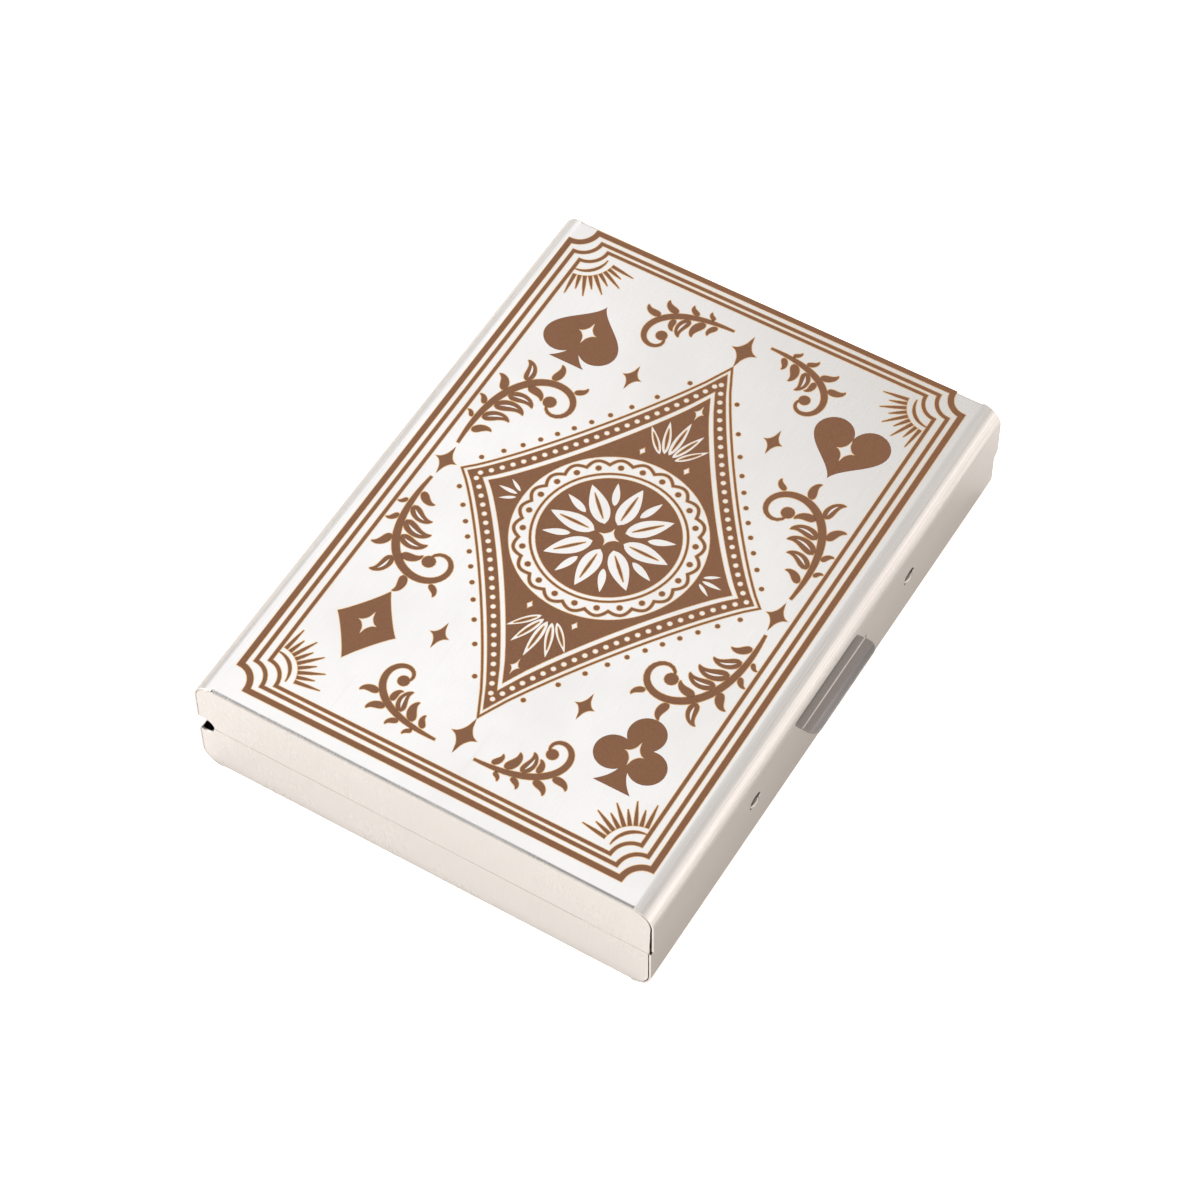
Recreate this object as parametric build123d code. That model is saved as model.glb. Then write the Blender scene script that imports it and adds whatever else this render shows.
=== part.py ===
from build123d import *
import os

# Stainless playing-card case: two bent sheet shells on a piano hinge.
# Millimetres. +Z is up, +Y runs along the long sides, -X is the hinge side
# and +X the latch side. The origin is the middle of the bottom face.

# Whole case
case_length = 95.0
case_width = 71.2
case_height = 18.4
sheet = 0.3

# Bends of the shells
side_bend_radius = 3.1
end_fold_radius = 0.5
corner_gap = 0.05
base_latch_gap = 0.12
lid_latch_gap = 0.2
lid_edge_gap = 0.38

# Seam between lid and base
seam_height = 8.9
seam_gap = 0.06

# Latch wall of the base, which slips inside the lid's latch wall
slip_gap = 0.1
tongue_margin = 1.0
tongue_end_clearance = 1.6
tongue_corner_radius = 2.0

# Snap catch: punched holes in the lid, pressed nubs on the tongue
catch_spacing = 42.4
catch_edge_margin = 0.71
catch_hole_length = 2.8
catch_hole_width = 2.2
nub_radius = 0.9
nub_reach = 0.05

# Thumb tab, cut from the lid's edge and bent out level
tab_length = 17.2
tab_trim = 0.41
tab_reach = 2.2
tab_bend_allowance = 0.12
tab_bend_radius = 0.15
tab_corner_radius = 1.4
tab_relief_width = 0.5
tab_relief_rise = 0.35

# Corners of the lid's latch wall
wall_corner_radius = 1.2

# Piano hinge
barrel_radius = 1.15
pin_radius = 0.5
pin_running_clearance = 0.05
pin_overhang = 0.3
leaf_thickness = 0.4
leaf_bend_clearance = 0.5
hinge_end_inset = 1.5
knuckle_count = 7
knuckle_gap = 0.15
wall_cutback = 1.5
base_notch_radius = 1.4
lid_notch_radius = 1.55

# Places worked out from the sizes above
half_length = case_length / 2
half_width = case_width / 2
base_latch_face = half_width - sheet - slip_gap
hinge_x = -half_width + barrel_radius
hinge_z = seam_height
base_edge = seam_height - seam_gap / 2
lid_edge = seam_height + seam_gap / 2
catch_height = lid_edge + catch_edge_margin + catch_hole_width / 2
tongue_top = catch_height + catch_hole_width / 2 + tongue_margin
tab_top = lid_edge + tab_trim + tab_reach + tab_bend_allowance
hinge_length = case_length - 2 * hinge_end_inset


def block(x0, x1, y0, y1, z0, z1):
    """A box between two opposite corners."""
    return Pos((x0 + x1) / 2, (y0 + y1) / 2, (z0 + z1) / 2) * Box(x1 - x0, y1 - y0, z1 - z0)


def rounded_pan_face(left, right, floor, top, radius):
    """A rectangle in the XZ plane with its two lower corners rounded."""
    face = Pos((left + right) / 2, (floor + top) / 2) * Rectangle(right - left, top - floor)
    return fillet(face.vertices().group_by(Axis.Y)[0], radius)


def side_channel(left, right, top):
    """The floor and both long walls: one sheet bent round two large radii."""
    outer = rounded_pan_face(left, right, 0, top, side_bend_radius)
    inner = rounded_pan_face(left + sheet, right - sheet, sheet, top + sheet, side_bend_radius - sheet)
    return extrude(Plane.XZ * (outer - inner), case_length / 2, both=True)


def end_fold(x0, x1):
    """The tight fold where the floor turns up into the end flap, at +Y."""
    stub_top = sheet + corner_gap + end_fold_radius
    fold_y = half_length - end_fold_radius
    inner_radius = end_fold_radius - sheet
    outline = [
        RadiusArc((fold_y, 0), (half_length, end_fold_radius), -end_fold_radius),
        Line((half_length, end_fold_radius), (half_length, stub_top)),
        Line((half_length, stub_top), (half_length - sheet, stub_top)),
        Line((half_length - sheet, stub_top), (half_length - sheet, end_fold_radius)),
        RadiusArc((half_length - sheet, end_fold_radius), (fold_y, sheet), inner_radius),
        Line((fold_y, sheet), (fold_y, 0)),
    ]
    return Pos(x0, 0, 0) * extrude(Plane.YZ * make_face(outline), x1 - x0)


def end_flap(left, right, top, latch_gap, edge_gap):
    """The upright end flap, clear of the side bends all round, at +Y."""
    inset = sheet + corner_gap
    latch_side = right - sheet - latch_gap
    face = rounded_pan_face(left + inset, latch_side, inset, top, side_bend_radius - inset)
    flap = extrude(Plane.XZ * face, sheet)
    taper = Polyline((latch_side, side_bend_radius), (latch_side + 1, side_bend_radius),
                     (latch_side + 1, top), (right - sheet - edge_gap, top), close=True)
    return Pos(0, half_length, 0) * (flap - extrude(Plane.XZ * make_face(taper), sheet))


def bent_pan(left, right, left_top, right_top, flap_top, latch_gap, edge_gap):
    """A shell as it lies on its back: floor, two long walls and two end flaps."""
    tallest = max(left_top, right_top)
    middle = (left + right) / 2
    pan = side_channel(left, right, tallest)
    pan -= block(left - 1, middle, -case_length, case_length, left_top, tallest + 1)
    pan -= block(middle, right + 1, -case_length, case_length, right_top, tallest + 1)
    fold_left = left + side_bend_radius
    fold_right = right - side_bend_radius
    slit = block(fold_left - corner_gap, fold_right + corner_gap,
                 half_length - end_fold_radius, case_length, -1, sheet + 1)
    end = end_fold(fold_left, fold_right) + end_flap(left, right, flap_top, latch_gap, edge_gap)
    pan = pan - slit - mirror(slit, Plane.XZ)
    return pan + end + mirror(end, Plane.XZ)


def hinge_notches(radius):
    """Round clearances about the hinge axis in the end flaps."""
    rod = Rot(90, 0, 0) * Cylinder(radius, case_length + 2)
    middle = block(-2 * barrel_radius, 2 * barrel_radius,
                   -half_length + sheet, half_length - sheet, -2 * barrel_radius, 2 * barrel_radius)
    return Pos(hinge_x, 0, hinge_z) * (rod - middle)


def base_shell():
    """The lower shell, whose latch wall stands up inside the lid as a tongue."""
    pan = bent_pan(-half_width, base_latch_face, hinge_z - wall_cutback, tongue_top, base_edge,
                   base_latch_gap, base_latch_gap)
    tongue_half = half_length - tongue_end_clearance
    inner_face = base_latch_face - sheet
    for y0, y1 in ((-case_length, -tongue_half), (tongue_half, case_length)):
        pan -= block(inner_face - 1, base_latch_face + 1, y0, y1, base_edge, tongue_top + 1)
    corners = pan.edges().filter_by(Axis.X).group_by(Axis.Z)[-1]
    pan = fillet(corners, tongue_corner_radius)
    nub_base = Plane(origin=(base_latch_face, 0, catch_height), z_dir=(1, 0, 0))
    nub = extrude(nub_base * Circle(nub_radius), nub_reach, taper=45)
    dimple_base = Plane(origin=(inner_face, 0, catch_height), z_dir=(1, 0, 0))
    dimple = extrude(dimple_base * Circle(nub_radius), nub_reach, taper=45)
    for y in (-catch_spacing / 2, catch_spacing / 2):
        pan += Pos(0, y, 0) * nub
        pan -= Pos(0, y, 0) * dimple
    return pan - hinge_notches(base_notch_radius)


def thumb_tab():
    """A strip of the lid's edge bent out level, with rounded outer corners."""
    plate = Pos(half_width + (tab_reach - sheet) / 2, 0) * Rectangle(tab_reach + sheet, tab_length)
    plate = fillet(plate.vertices().group_by(Axis.X)[-1], tab_corner_radius)
    return Pos(0, 0, tab_top - sheet) * extrude(plate, sheet)


def round_tab_bend(lid):
    """The sheet turns out to the tab on a tight inner and a wider outer radius."""
    lengthwise = [edge for edge in lid.edges().filter_by(Axis.Y) if abs(edge.center().Y) < tab_length / 2]
    hollow = [edge for edge in lengthwise
              if Vector(half_width, 0, tab_top).sub(edge.center()).length < tab_bend_radius]
    lid = fillet(hollow, tab_bend_radius)
    lengthwise = [edge for edge in lid.edges().filter_by(Axis.Y) if abs(edge.center().Y) < tab_length / 2]
    crown = [edge for edge in lengthwise
             if Vector(half_width - sheet, 0, tab_top - sheet).sub(edge.center()).length < tab_bend_radius]
    return fillet(crown, tab_bend_radius + sheet)


def lid_shell():
    """The upper shell: a pan turned over, with catch holes and the thumb tab."""
    depth = case_height - lid_edge
    hinge_wall = case_height - hinge_z - wall_cutback
    pan = bent_pan(-half_width, half_width, hinge_wall, depth, depth, lid_latch_gap, lid_edge_gap)
    lid = Pos(0, 0, case_height) * mirror(pan, Plane.XY)
    corners = [edge for edge in lid.edges().filter_by(Axis.X)
               if edge.center().X > half_width - sheet and edge.center().Z < lid_edge + sheet]
    lid = fillet(corners, wall_corner_radius)
    wall_inside = half_width - 2 * sheet
    wall_outside = half_width + sheet
    cut_half = tab_length / 2 + tab_relief_width
    lid -= block(wall_inside, wall_outside, -cut_half, cut_half, 0, tab_top - sheet)
    for side in (-1, 1):
        y0, y1 = sorted((side * tab_length / 2, side * cut_half))
        lid -= block(wall_inside, wall_outside, y0, y1, 0, tab_top + tab_relief_rise)
    lid += thumb_tab()
    lid = round_tab_bend(lid)
    hole_face = Plane(origin=(wall_inside, 0, catch_height), x_dir=(0, 1, 0), z_dir=(1, 0, 0))
    hole = extrude(hole_face * SlotOverall(catch_hole_length, catch_hole_width), 4 * sheet)
    for y in (-catch_spacing / 2, catch_spacing / 2):
        lid -= Pos(0, y, 0) * hole
    return lid - hinge_notches(lid_notch_radius)


def knuckle_spans(lid_side):
    """The y range of each knuckle on one side: base has the end knuckles."""
    pitch = hinge_length / knuckle_count
    spans = []
    for k in range(knuckle_count):
        if (k % 2 == 1) == lid_side:
            y0 = -hinge_length / 2 + k * pitch
            spans.append((y0 + knuckle_gap / 2, y0 + pitch - knuckle_gap / 2))
    return spans


def hinge_leaf(lid_side):
    """A strip spot-welded inside the wall, rolled into knuckles at its edge."""
    direction = 1 if lid_side else -1
    leaf_face = -half_width + sheet
    root = hinge_z + direction * (barrel_radius + knuckle_gap)
    bend_start = side_bend_radius + leaf_bend_clearance
    tip = case_height - bend_start if lid_side else bend_start
    z0, z1 = sorted((root, tip))
    leaf = block(leaf_face, leaf_face + leaf_thickness, -hinge_length / 2, hinge_length / 2, z0, z1)
    for y0, y1 in knuckle_spans(lid_side):
        neck_z = sorted((hinge_z, root))
        neck = block(leaf_face, leaf_face + leaf_thickness, y0, y1, *neck_z)
        barrel = Pos(hinge_x, (y0 + y1) / 2, hinge_z) * Rot(90, 0, 0) * Cylinder(barrel_radius, y1 - y0)
        leaf += neck + barrel
    between_ends = hinge_length * (1 - 2 / knuckle_count)
    running_bore = Rot(90, 0, 0) * Cylinder(pin_radius + pin_running_clearance, between_ends)
    crimped_bore = Rot(90, 0, 0) * Cylinder(pin_radius, case_length)
    return leaf - Pos(hinge_x, 0, hinge_z) * (running_bore + crimped_bore)


def hinge_pin():
    """The wire that the knuckles turn on, held in the base's end knuckles."""
    return Pos(hinge_x, 0, hinge_z) * Rot(90, 0, 0) * Cylinder(pin_radius, hinge_length + 2 * pin_overhang)


os.makedirs("parts", exist_ok=True)
pieces = {
    "base_shell": base_shell(),
    "lid_shell": lid_shell(),
    "base_hinge_leaf": hinge_leaf(False),
    "lid_hinge_leaf": hinge_leaf(True),
    "hinge_pin": hinge_pin(),
}
for name, solid in pieces.items():
    export_step(solid, f"parts/{name}.step")
    print(name, len(solid.solids()), round(solid.volume, 3), solid.is_valid)
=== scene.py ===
import bpy
from math import cos, hypot, pi, radians, sin, sqrt
from mathutils import Matrix, Vector


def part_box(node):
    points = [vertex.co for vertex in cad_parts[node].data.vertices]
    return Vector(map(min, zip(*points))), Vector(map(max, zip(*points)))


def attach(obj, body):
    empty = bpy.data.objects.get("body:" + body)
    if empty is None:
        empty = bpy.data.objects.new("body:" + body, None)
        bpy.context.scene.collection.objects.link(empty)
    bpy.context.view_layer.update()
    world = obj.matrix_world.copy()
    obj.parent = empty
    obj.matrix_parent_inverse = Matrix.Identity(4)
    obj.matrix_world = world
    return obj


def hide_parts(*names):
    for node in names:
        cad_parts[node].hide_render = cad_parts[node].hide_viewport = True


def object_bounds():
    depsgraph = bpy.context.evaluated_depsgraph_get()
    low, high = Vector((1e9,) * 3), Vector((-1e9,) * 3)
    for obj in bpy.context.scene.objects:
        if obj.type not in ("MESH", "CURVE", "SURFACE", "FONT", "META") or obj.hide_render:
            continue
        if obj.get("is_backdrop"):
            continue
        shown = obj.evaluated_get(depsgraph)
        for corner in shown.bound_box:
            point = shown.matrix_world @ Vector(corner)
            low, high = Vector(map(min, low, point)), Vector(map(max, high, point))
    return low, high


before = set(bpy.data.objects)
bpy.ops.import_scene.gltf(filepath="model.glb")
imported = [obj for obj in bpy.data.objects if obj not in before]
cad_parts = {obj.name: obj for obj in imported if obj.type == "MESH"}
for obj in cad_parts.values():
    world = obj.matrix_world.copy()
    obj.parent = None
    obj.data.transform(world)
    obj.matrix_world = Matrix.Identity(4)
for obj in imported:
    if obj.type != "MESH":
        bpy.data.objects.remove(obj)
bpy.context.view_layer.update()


# ---- base shell -----------------------------------------------------------------------
# The lower half of the case: one blank of 0.3 mm stainless sheet. Its long sides are
# rolled up over a large radius and its ends folded up sharp, with an open gap at each
# corner. The sheet keeps its rolling grain, and its cut edges are tumbled smooth.

SHEET_EDGE_ROUND = 0.00005
MERGE_DISTANCE = 0.0000005
FLAT_ANGLE = radians(0.5)
CUT_EDGE_ANGLE = radians(35)
BEND_STEP_ANGLE = radians(30)
SPIKE_LENGTH = 0.0001


def trimmed_to_box(piece, low, high):
    """Takes off the spikes that rounding leaves at the bend reliefs, and keeps the rest in the box."""
    def overshoot(point):
        return max(max(low[axis] - point[axis], point[axis] - high[axis]) for axis in range(3))

    bpy.ops.object.mode_set(mode="EDIT")
    bpy.ops.mesh.select_mode(type="VERT")
    bpy.ops.mesh.select_all(action="DESELECT")
    bpy.ops.object.mode_set(mode="OBJECT")
    for vertex in piece.data.vertices:
        vertex.select = overshoot(vertex.co) > SPIKE_LENGTH
    bpy.ops.object.mode_set(mode="EDIT")
    bpy.ops.mesh.dissolve_verts()
    bpy.ops.object.mode_set(mode="OBJECT")
    for vertex in piece.data.vertices:
        vertex.co = [min(max(vertex.co[axis], low[axis]), high[axis]) for axis in range(3)]


def dressed_copy(node, name, edge_round):
    """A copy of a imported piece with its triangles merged, its cut edges rounded and its bends smooth."""
    piece = bpy.data.objects.new(name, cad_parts[node].data.copy())
    bpy.context.scene.collection.objects.link(piece)
    bpy.ops.object.select_all(action="DESELECT")
    bpy.context.view_layer.objects.active = piece
    piece.select_set(True)
    bpy.ops.mesh.customdata_custom_splitnormals_clear()
    bpy.ops.object.mode_set(mode="EDIT")
    bpy.ops.mesh.select_all(action="SELECT")
    bpy.ops.mesh.remove_doubles(threshold=MERGE_DISTANCE)
    bpy.ops.mesh.dissolve_limited(angle_limit=FLAT_ANGLE)
    bpy.ops.object.mode_set(mode="OBJECT")
    rounding = piece.modifiers.new("edge_round", "BEVEL")
    rounding.width = edge_round
    rounding.segments = 2
    rounding.limit_method = "ANGLE"
    rounding.angle_limit = CUT_EDGE_ANGLE
    rounding.use_clamp_overlap = False
    bpy.ops.object.modifier_apply(modifier=rounding.name)
    trimmed_to_box(piece, *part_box(node))
    bpy.ops.object.shade_smooth_by_angle(angle=BEND_STEP_ANGLE)
    flats = piece.modifiers.new("flat_faces_stay_flat", "WEIGHTED_NORMAL")
    flats.keep_sharp = True
    flats.weight = 100
    bpy.ops.object.modifier_apply(modifier=flats.name)
    piece.data.materials.clear()
    return piece


def effect_group(name, inputs, outputs):
    """An empty shader group with its sockets; inputs are (name, start value), outputs are names."""
    group = bpy.data.node_groups.new(name, "ShaderNodeTree")
    for label, value in inputs:
        socket = group.interface.new_socket(label, in_out="INPUT", socket_type="NodeSocketFloat")
        socket.default_value = value
    for label in outputs:
        group.interface.new_socket(label, in_out="OUTPUT", socket_type="NodeSocketFloat")
    return group, group.nodes.new("NodeGroupInput"), group.nodes.new("NodeGroupOutput")


def calculate(tree, operation, first, second=0.5, third=None):
    """A Math node; each operand is a number or an output socket."""
    math = tree.nodes.new("ShaderNodeMath")
    math.operation = operation
    for slot, operand in enumerate((first, second, third)):
        if operand is None:
            continue
        if isinstance(operand, (int, float)):
            math.inputs[slot].default_value = operand
        else:
            tree.links.new(operand, math.inputs[slot])
    return math.outputs["Value"]


def spread(tree, value, low, high, to_low, to_high):
    """Maps a value from one range to another, clamped."""
    mapping = tree.nodes.new("ShaderNodeMapRange")
    for label, operand in (("Value", value), ("From Min", low), ("From Max", high),
                           ("To Min", to_low), ("To Max", to_high)):
        if isinstance(operand, (int, float)):
            mapping.inputs[label].default_value = operand
        else:
            tree.links.new(operand, mapping.inputs[label])
    return mapping.outputs["Result"]


def noise(tree, vector, scale, detail, roughness=0.5):
    """A grey noise that follows the given place on the piece."""
    texture = tree.nodes.new("ShaderNodeTexNoise")
    texture.inputs["Scale"].default_value = scale
    texture.inputs["Detail"].default_value = detail
    texture.inputs["Roughness"].default_value = roughness
    tree.links.new(vector, texture.inputs["Vector"])
    return texture.outputs["Fac"]


SHEET_LINES_PER_METRE = 9000.0
SHEET_STREAKS_PER_METRE = 220.0
DRAW_LINES_PER_METRE = 750.0
DRAW_STREAKS_PER_METRE = 12.0
CLOUDS_PER_METRE = 55.0


def rolling_grain_group():
    """Fine streaks that run the length of the blank and follow it round its folds."""
    group, given, result = effect_group(
        "rolling_grain",
        [("Lines per metre", SHEET_LINES_PER_METRE), ("Streak per metre", SHEET_STREAKS_PER_METRE)],
        ["Streak", "Cloud", "Draw line"])
    place = group.nodes.new("ShaderNodeTexCoord")
    axes = group.nodes.new("ShaderNodeSeparateXYZ")
    facing = group.nodes.new("ShaderNodeSeparateXYZ")
    group.links.new(place.outputs["Object"], axes.inputs["Vector"])
    group.links.new(place.outputs["Normal"], facing.inputs["Vector"])
    on_side_wall = calculate(group, "ABSOLUTE", facing.outputs["X"])
    climb = calculate(group, "MULTIPLY", axes.outputs["Z"], on_side_wall)
    across = calculate(group, "ADD", axes.outputs["X"], climb)
    along = calculate(group, "ADD", axes.outputs["Y"], axes.outputs["Z"])
    flat = group.nodes.new("ShaderNodeCombineXYZ")
    lines = calculate(group, "MULTIPLY", across, given.outputs["Lines per metre"])
    streaks = calculate(group, "MULTIPLY", along, given.outputs["Streak per metre"])
    group.links.new(lines, flat.inputs["X"])
    group.links.new(streaks, flat.inputs["Y"])
    group.links.new(noise(group, flat.outputs["Vector"], 1.0, 3.0, 0.65), result.inputs["Streak"])
    clouds = noise(group, place.outputs["Object"], CLOUDS_PER_METRE, 3.0, 0.55)
    group.links.new(clouds, result.inputs["Cloud"])
    drawn = group.nodes.new("ShaderNodeCombineXYZ")
    group.links.new(calculate(group, "MULTIPLY", across, DRAW_LINES_PER_METRE), drawn.inputs["X"])
    group.links.new(calculate(group, "MULTIPLY", along, DRAW_STREAKS_PER_METRE), drawn.inputs["Y"])
    drawn_noise = calculate(group, "SUBTRACT", noise(group, drawn.outputs["Vector"], 1.0, 3.0, 0.7), 0.5)
    on_top = calculate(group, "ABSOLUTE", facing.outputs["Z"])
    on_bend = calculate(group, "MULTIPLY", on_side_wall, on_top)
    on_bend = calculate(group, "MULTIPLY", on_bend, 2.0)
    draw_line = calculate(group, "MULTIPLY_ADD", drawn_noise, on_bend, 0.5)
    group.links.new(draw_line, result.inputs["Draw line"])
    return group


EDGE_HIGHLIGHT_WIDTH = 0.0002
EDGE_HIGHLIGHT_PATCHES_PER_METRE = 900.0


def painted_edge_highlight_group():
    """Marks the outer edges for a painted highlight, which makes the metal there brighter."""
    group, given, result = effect_group("painted_edge_highlight", [("Width", EDGE_HIGHLIGHT_WIDTH), ("Break up", 0.5)], ["Mask"])
    rounded = group.nodes.new("ShaderNodeBevel")
    rounded.samples = 4
    group.links.new(given.outputs["Width"], rounded.inputs["Radius"])
    true_face = group.nodes.new("ShaderNodeNewGeometry")
    alignment = group.nodes.new("ShaderNodeVectorMath")
    alignment.operation = "DOT_PRODUCT"
    group.links.new(rounded.outputs["Normal"], alignment.inputs[0])
    group.links.new(true_face.outputs["Normal"], alignment.inputs[1])
    turned = spread(group, alignment.outputs["Value"], 0.999, 0.88, 0.0, 1.0)
    place = group.nodes.new("ShaderNodeTexCoord")
    patches = noise(group, place.outputs["Object"], EDGE_HIGHLIGHT_PATCHES_PER_METRE, 3.0)
    dimmest = calculate(group, "SUBTRACT", 1.0, given.outputs["Break up"])
    broken = spread(group, patches, 0.35, 0.65, dimmest, 1.0)
    group.links.new(calculate(group, "MULTIPLY", turned, broken), result.inputs["Mask"])
    return group


SMEARS_PER_METRE = 70.0
HAIRLINE_RUNS = ((radians(24), (2600.0, 60.0, 500.0)), (radians(-51), (2100.0, 45.0, 400.0)))


def handling_group():
    """Faint finger smears and hairline scratches that lie every way across the sheet."""
    group, given, result = effect_group(
        "handling", [("Smear size", SMEARS_PER_METRE), ("Hairlines", 1.0)], ["Smear", "Hairline"])
    place = group.nodes.new("ShaderNodeTexCoord")
    smear = group.nodes.new("ShaderNodeTexNoise")
    smear.inputs["Detail"].default_value = 4.0
    smear.inputs["Distortion"].default_value = 0.6
    group.links.new(place.outputs["Object"], smear.inputs["Vector"])
    group.links.new(given.outputs["Smear size"], smear.inputs["Scale"])
    group.links.new(spread(group, smear.outputs["Fac"], 0.45, 0.75, 0.0, 1.0), result.inputs["Smear"])
    lines = None
    for turn, stretch in HAIRLINE_RUNS:
        turned = group.nodes.new("ShaderNodeMapping")
        turned.inputs["Rotation"].default_value = (0.0, turn, turn)
        turned.inputs["Scale"].default_value = stretch
        group.links.new(place.outputs["Object"], turned.inputs["Vector"])
        hair = spread(group, noise(group, turned.outputs["Vector"], 1.0, 1.0), 0.74, 0.8, 0.0, 1.0)
        lines = hair if lines is None else calculate(group, "MAXIMUM", lines, hair)
    hairlines = calculate(group, "MULTIPLY", lines, given.outputs["Hairlines"])
    group.links.new(hairlines, result.inputs["Hairline"])
    return group


rolling_grain = rolling_grain_group()
painted_edge_highlight = painted_edge_highlight_group()
handling = handling_group()


def placed(tree, group, **values):
    """An effect group set into a material with this material's own values."""
    node = tree.nodes.new("ShaderNodeGroup")
    node.node_tree = group
    for label, value in values.items():
        node.inputs[label.replace("_", " ")].default_value = value
    return node


def blended(tree, amount, first, second):
    """A colour between two colours; each is a tuple or an output socket."""
    mix = tree.nodes.new("ShaderNodeMix")
    mix.data_type = "RGBA"
    tree.links.new(amount, mix.inputs["Factor"])
    for socket, colour in ((mix.inputs[6], first), (mix.inputs[7], second)):
        if isinstance(colour, tuple):
            socket.default_value = (*colour, 1.0)
        else:
            tree.links.new(colour, socket)
    return mix.outputs[2]


ROLLED_ANISOTROPY = 0.7
DRAW_LINE_DARK = (0.5, 0.485, 0.475)
DRAW_LINE_BRIGHT = (0.76, 0.745, 0.73)
PAINTED_EDGE_HIGHLIGHT_TONE = (0.80, 0.72, 0.62)
TAB_SHADE_AT_ROOT = (0.32, 0.284, 0.268)
TAB_SHADE_AT_TIP = (0.1, 0.084, 0.077)
PAINTED_SHADE_TONE = (0.14, 0.127, 0.118)
IRONED_EDGE = 0.0001
IRONED_SMOOTHING = 0.15
TAB_SHADE_EDGE = 0.00006
TAB_SHADE_DARKENS = (0.0008, 0.0016)
TAB_SHADE_STRENGTH = 0.85
TOP_SHADE_EDGE = 0.00012
TOP_SHADE_STRENGTH = 0.95
CLOUD_ROUGHNESS = 0.03
STREAK_ROUGHNESS = 0.06
HANDLING_ROUGHNESS = 0.05


def sheet_steel(name, bright, dull, roughness, grain_depth, lines=SHEET_LINES_PER_METRE,
                ironed_beyond=None, painted_shade_beyond=None, painted_shade_above=None):
    """Stainless sheet as rolled: streaky grain, faint smears and a painted highlight on the edges. Past a
    given X it may be ironed smooth or darkened outwards with painted shade, and above a given Z darkened
    with painted shade."""
    material = bpy.data.materials.new(name)
    material.use_nodes = True
    tree = material.node_tree
    metal = tree.nodes["Principled BSDF"]
    metal.inputs["Metallic"].default_value = 1.0
    metal.inputs["Anisotropic"].default_value = ROLLED_ANISOTROPY
    metal.inputs["Anisotropic Rotation"].default_value = 0.25
    along = tree.nodes.new("ShaderNodeCombineXYZ")
    for socket, value in zip(along.inputs, (0.0, 1.0, 0.02)):
        socket.default_value = value
    tree.links.new(along.outputs["Vector"], metal.inputs["Tangent"])
    grain = placed(tree, rolling_grain, Lines_per_metre=lines)
    marks = placed(tree, handling)
    edges = placed(tree, painted_edge_highlight)
    tone = blended(tree, spread(tree, grain.outputs["Streak"], 0.3, 0.7, 0.0, 1.0), dull, bright)
    dark_line = spread(tree, grain.outputs["Draw line"], 0.5, 0.62, 0.0, 0.5)
    tone = blended(tree, dark_line, tone, DRAW_LINE_DARK)
    bright_line = spread(tree, grain.outputs["Draw line"], 0.5, 0.38, 0.0, 0.5)
    tone = blended(tree, bright_line, tone, DRAW_LINE_BRIGHT)
    # Painted highlight: the outer edges are blended towards a light warm tone.
    tone = blended(tree, calculate(tree, "MULTIPLY", edges.outputs["Mask"], 0.6), tone, PAINTED_EDGE_HIGHLIGHT_TONE)
    place = tree.nodes.new("ShaderNodeSeparateXYZ")
    tree.links.new(tree.nodes.new("ShaderNodeTexCoord").outputs["Object"], place.inputs["Vector"])
    # Painted shade: past the given X the colour darkens outwards, towards the tab's tip, but not on the
    # edges.
    if painted_shade_beyond is not None:
        start = painted_shade_beyond
        darkens_from, dark_at = [start + reach for reach in TAB_SHADE_DARKENS]
        beyond = spread(tree, place.outputs["X"], start, start + TAB_SHADE_EDGE, 0.0, TAB_SHADE_STRENGTH)
        outward = spread(tree, place.outputs["X"], darkens_from, dark_at, 0.0, 1.0)
        tab_shade = blended(tree, outward, TAB_SHADE_AT_ROOT, TAB_SHADE_AT_TIP)
        flat = calculate(tree, "SUBTRACT", 1.0, edges.outputs["Mask"])
        tone = blended(tree, calculate(tree, "MULTIPLY", beyond, flat), tone, tab_shade)
    # Painted shade: above the given Z the colour darkens.
    if painted_shade_above is not None:
        start = painted_shade_above
        top_shade = spread(tree, place.outputs["Z"], start, start + TOP_SHADE_EDGE, 0.0, TOP_SHADE_STRENGTH)
        tone = blended(tree, top_shade, tone, PAINTED_SHADE_TONE)
    tree.links.new(tone, metal.inputs["Base Color"])
    rough = spread(tree, grain.outputs["Cloud"], 0.3, 0.7,
                   roughness - CLOUD_ROUGHNESS, roughness + CLOUD_ROUGHNESS)
    rough = calculate(tree, "MULTIPLY_ADD", grain.outputs["Streak"], STREAK_ROUGHNESS, rough)
    rough = calculate(tree, "MULTIPLY_ADD", marks.outputs["Smear"], HANDLING_ROUGHNESS, rough)
    rough = calculate(tree, "MULTIPLY_ADD", marks.outputs["Hairline"], HANDLING_ROUGHNESS, rough)
    if ironed_beyond is not None:
        start = ironed_beyond
        ironed = spread(tree, place.outputs["X"], start, start + IRONED_EDGE, 0.0, IRONED_SMOOTHING)
        rough = calculate(tree, "SUBTRACT", rough, ironed)
    tree.links.new(rough, metal.inputs["Roughness"])
    relief = tree.nodes.new("ShaderNodeBump")
    relief.inputs["Distance"].default_value = grain_depth
    height = calculate(tree, "MULTIPLY_ADD", marks.outputs["Hairline"], -0.3, grain.outputs["Streak"])
    tree.links.new(height, relief.inputs["Height"])
    tree.links.new(relief.outputs["Normal"], metal.inputs["Normal"])
    return material


STEEL_BRIGHT = (0.64, 0.627, 0.614)
STEEL_DULL = (0.60, 0.587, 0.573)
SHEET_ROUGHNESS = 0.24
SHEET_GRAIN_DEPTH = 0.000003
BASE_IRONED_BEYOND = 0.035

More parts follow.
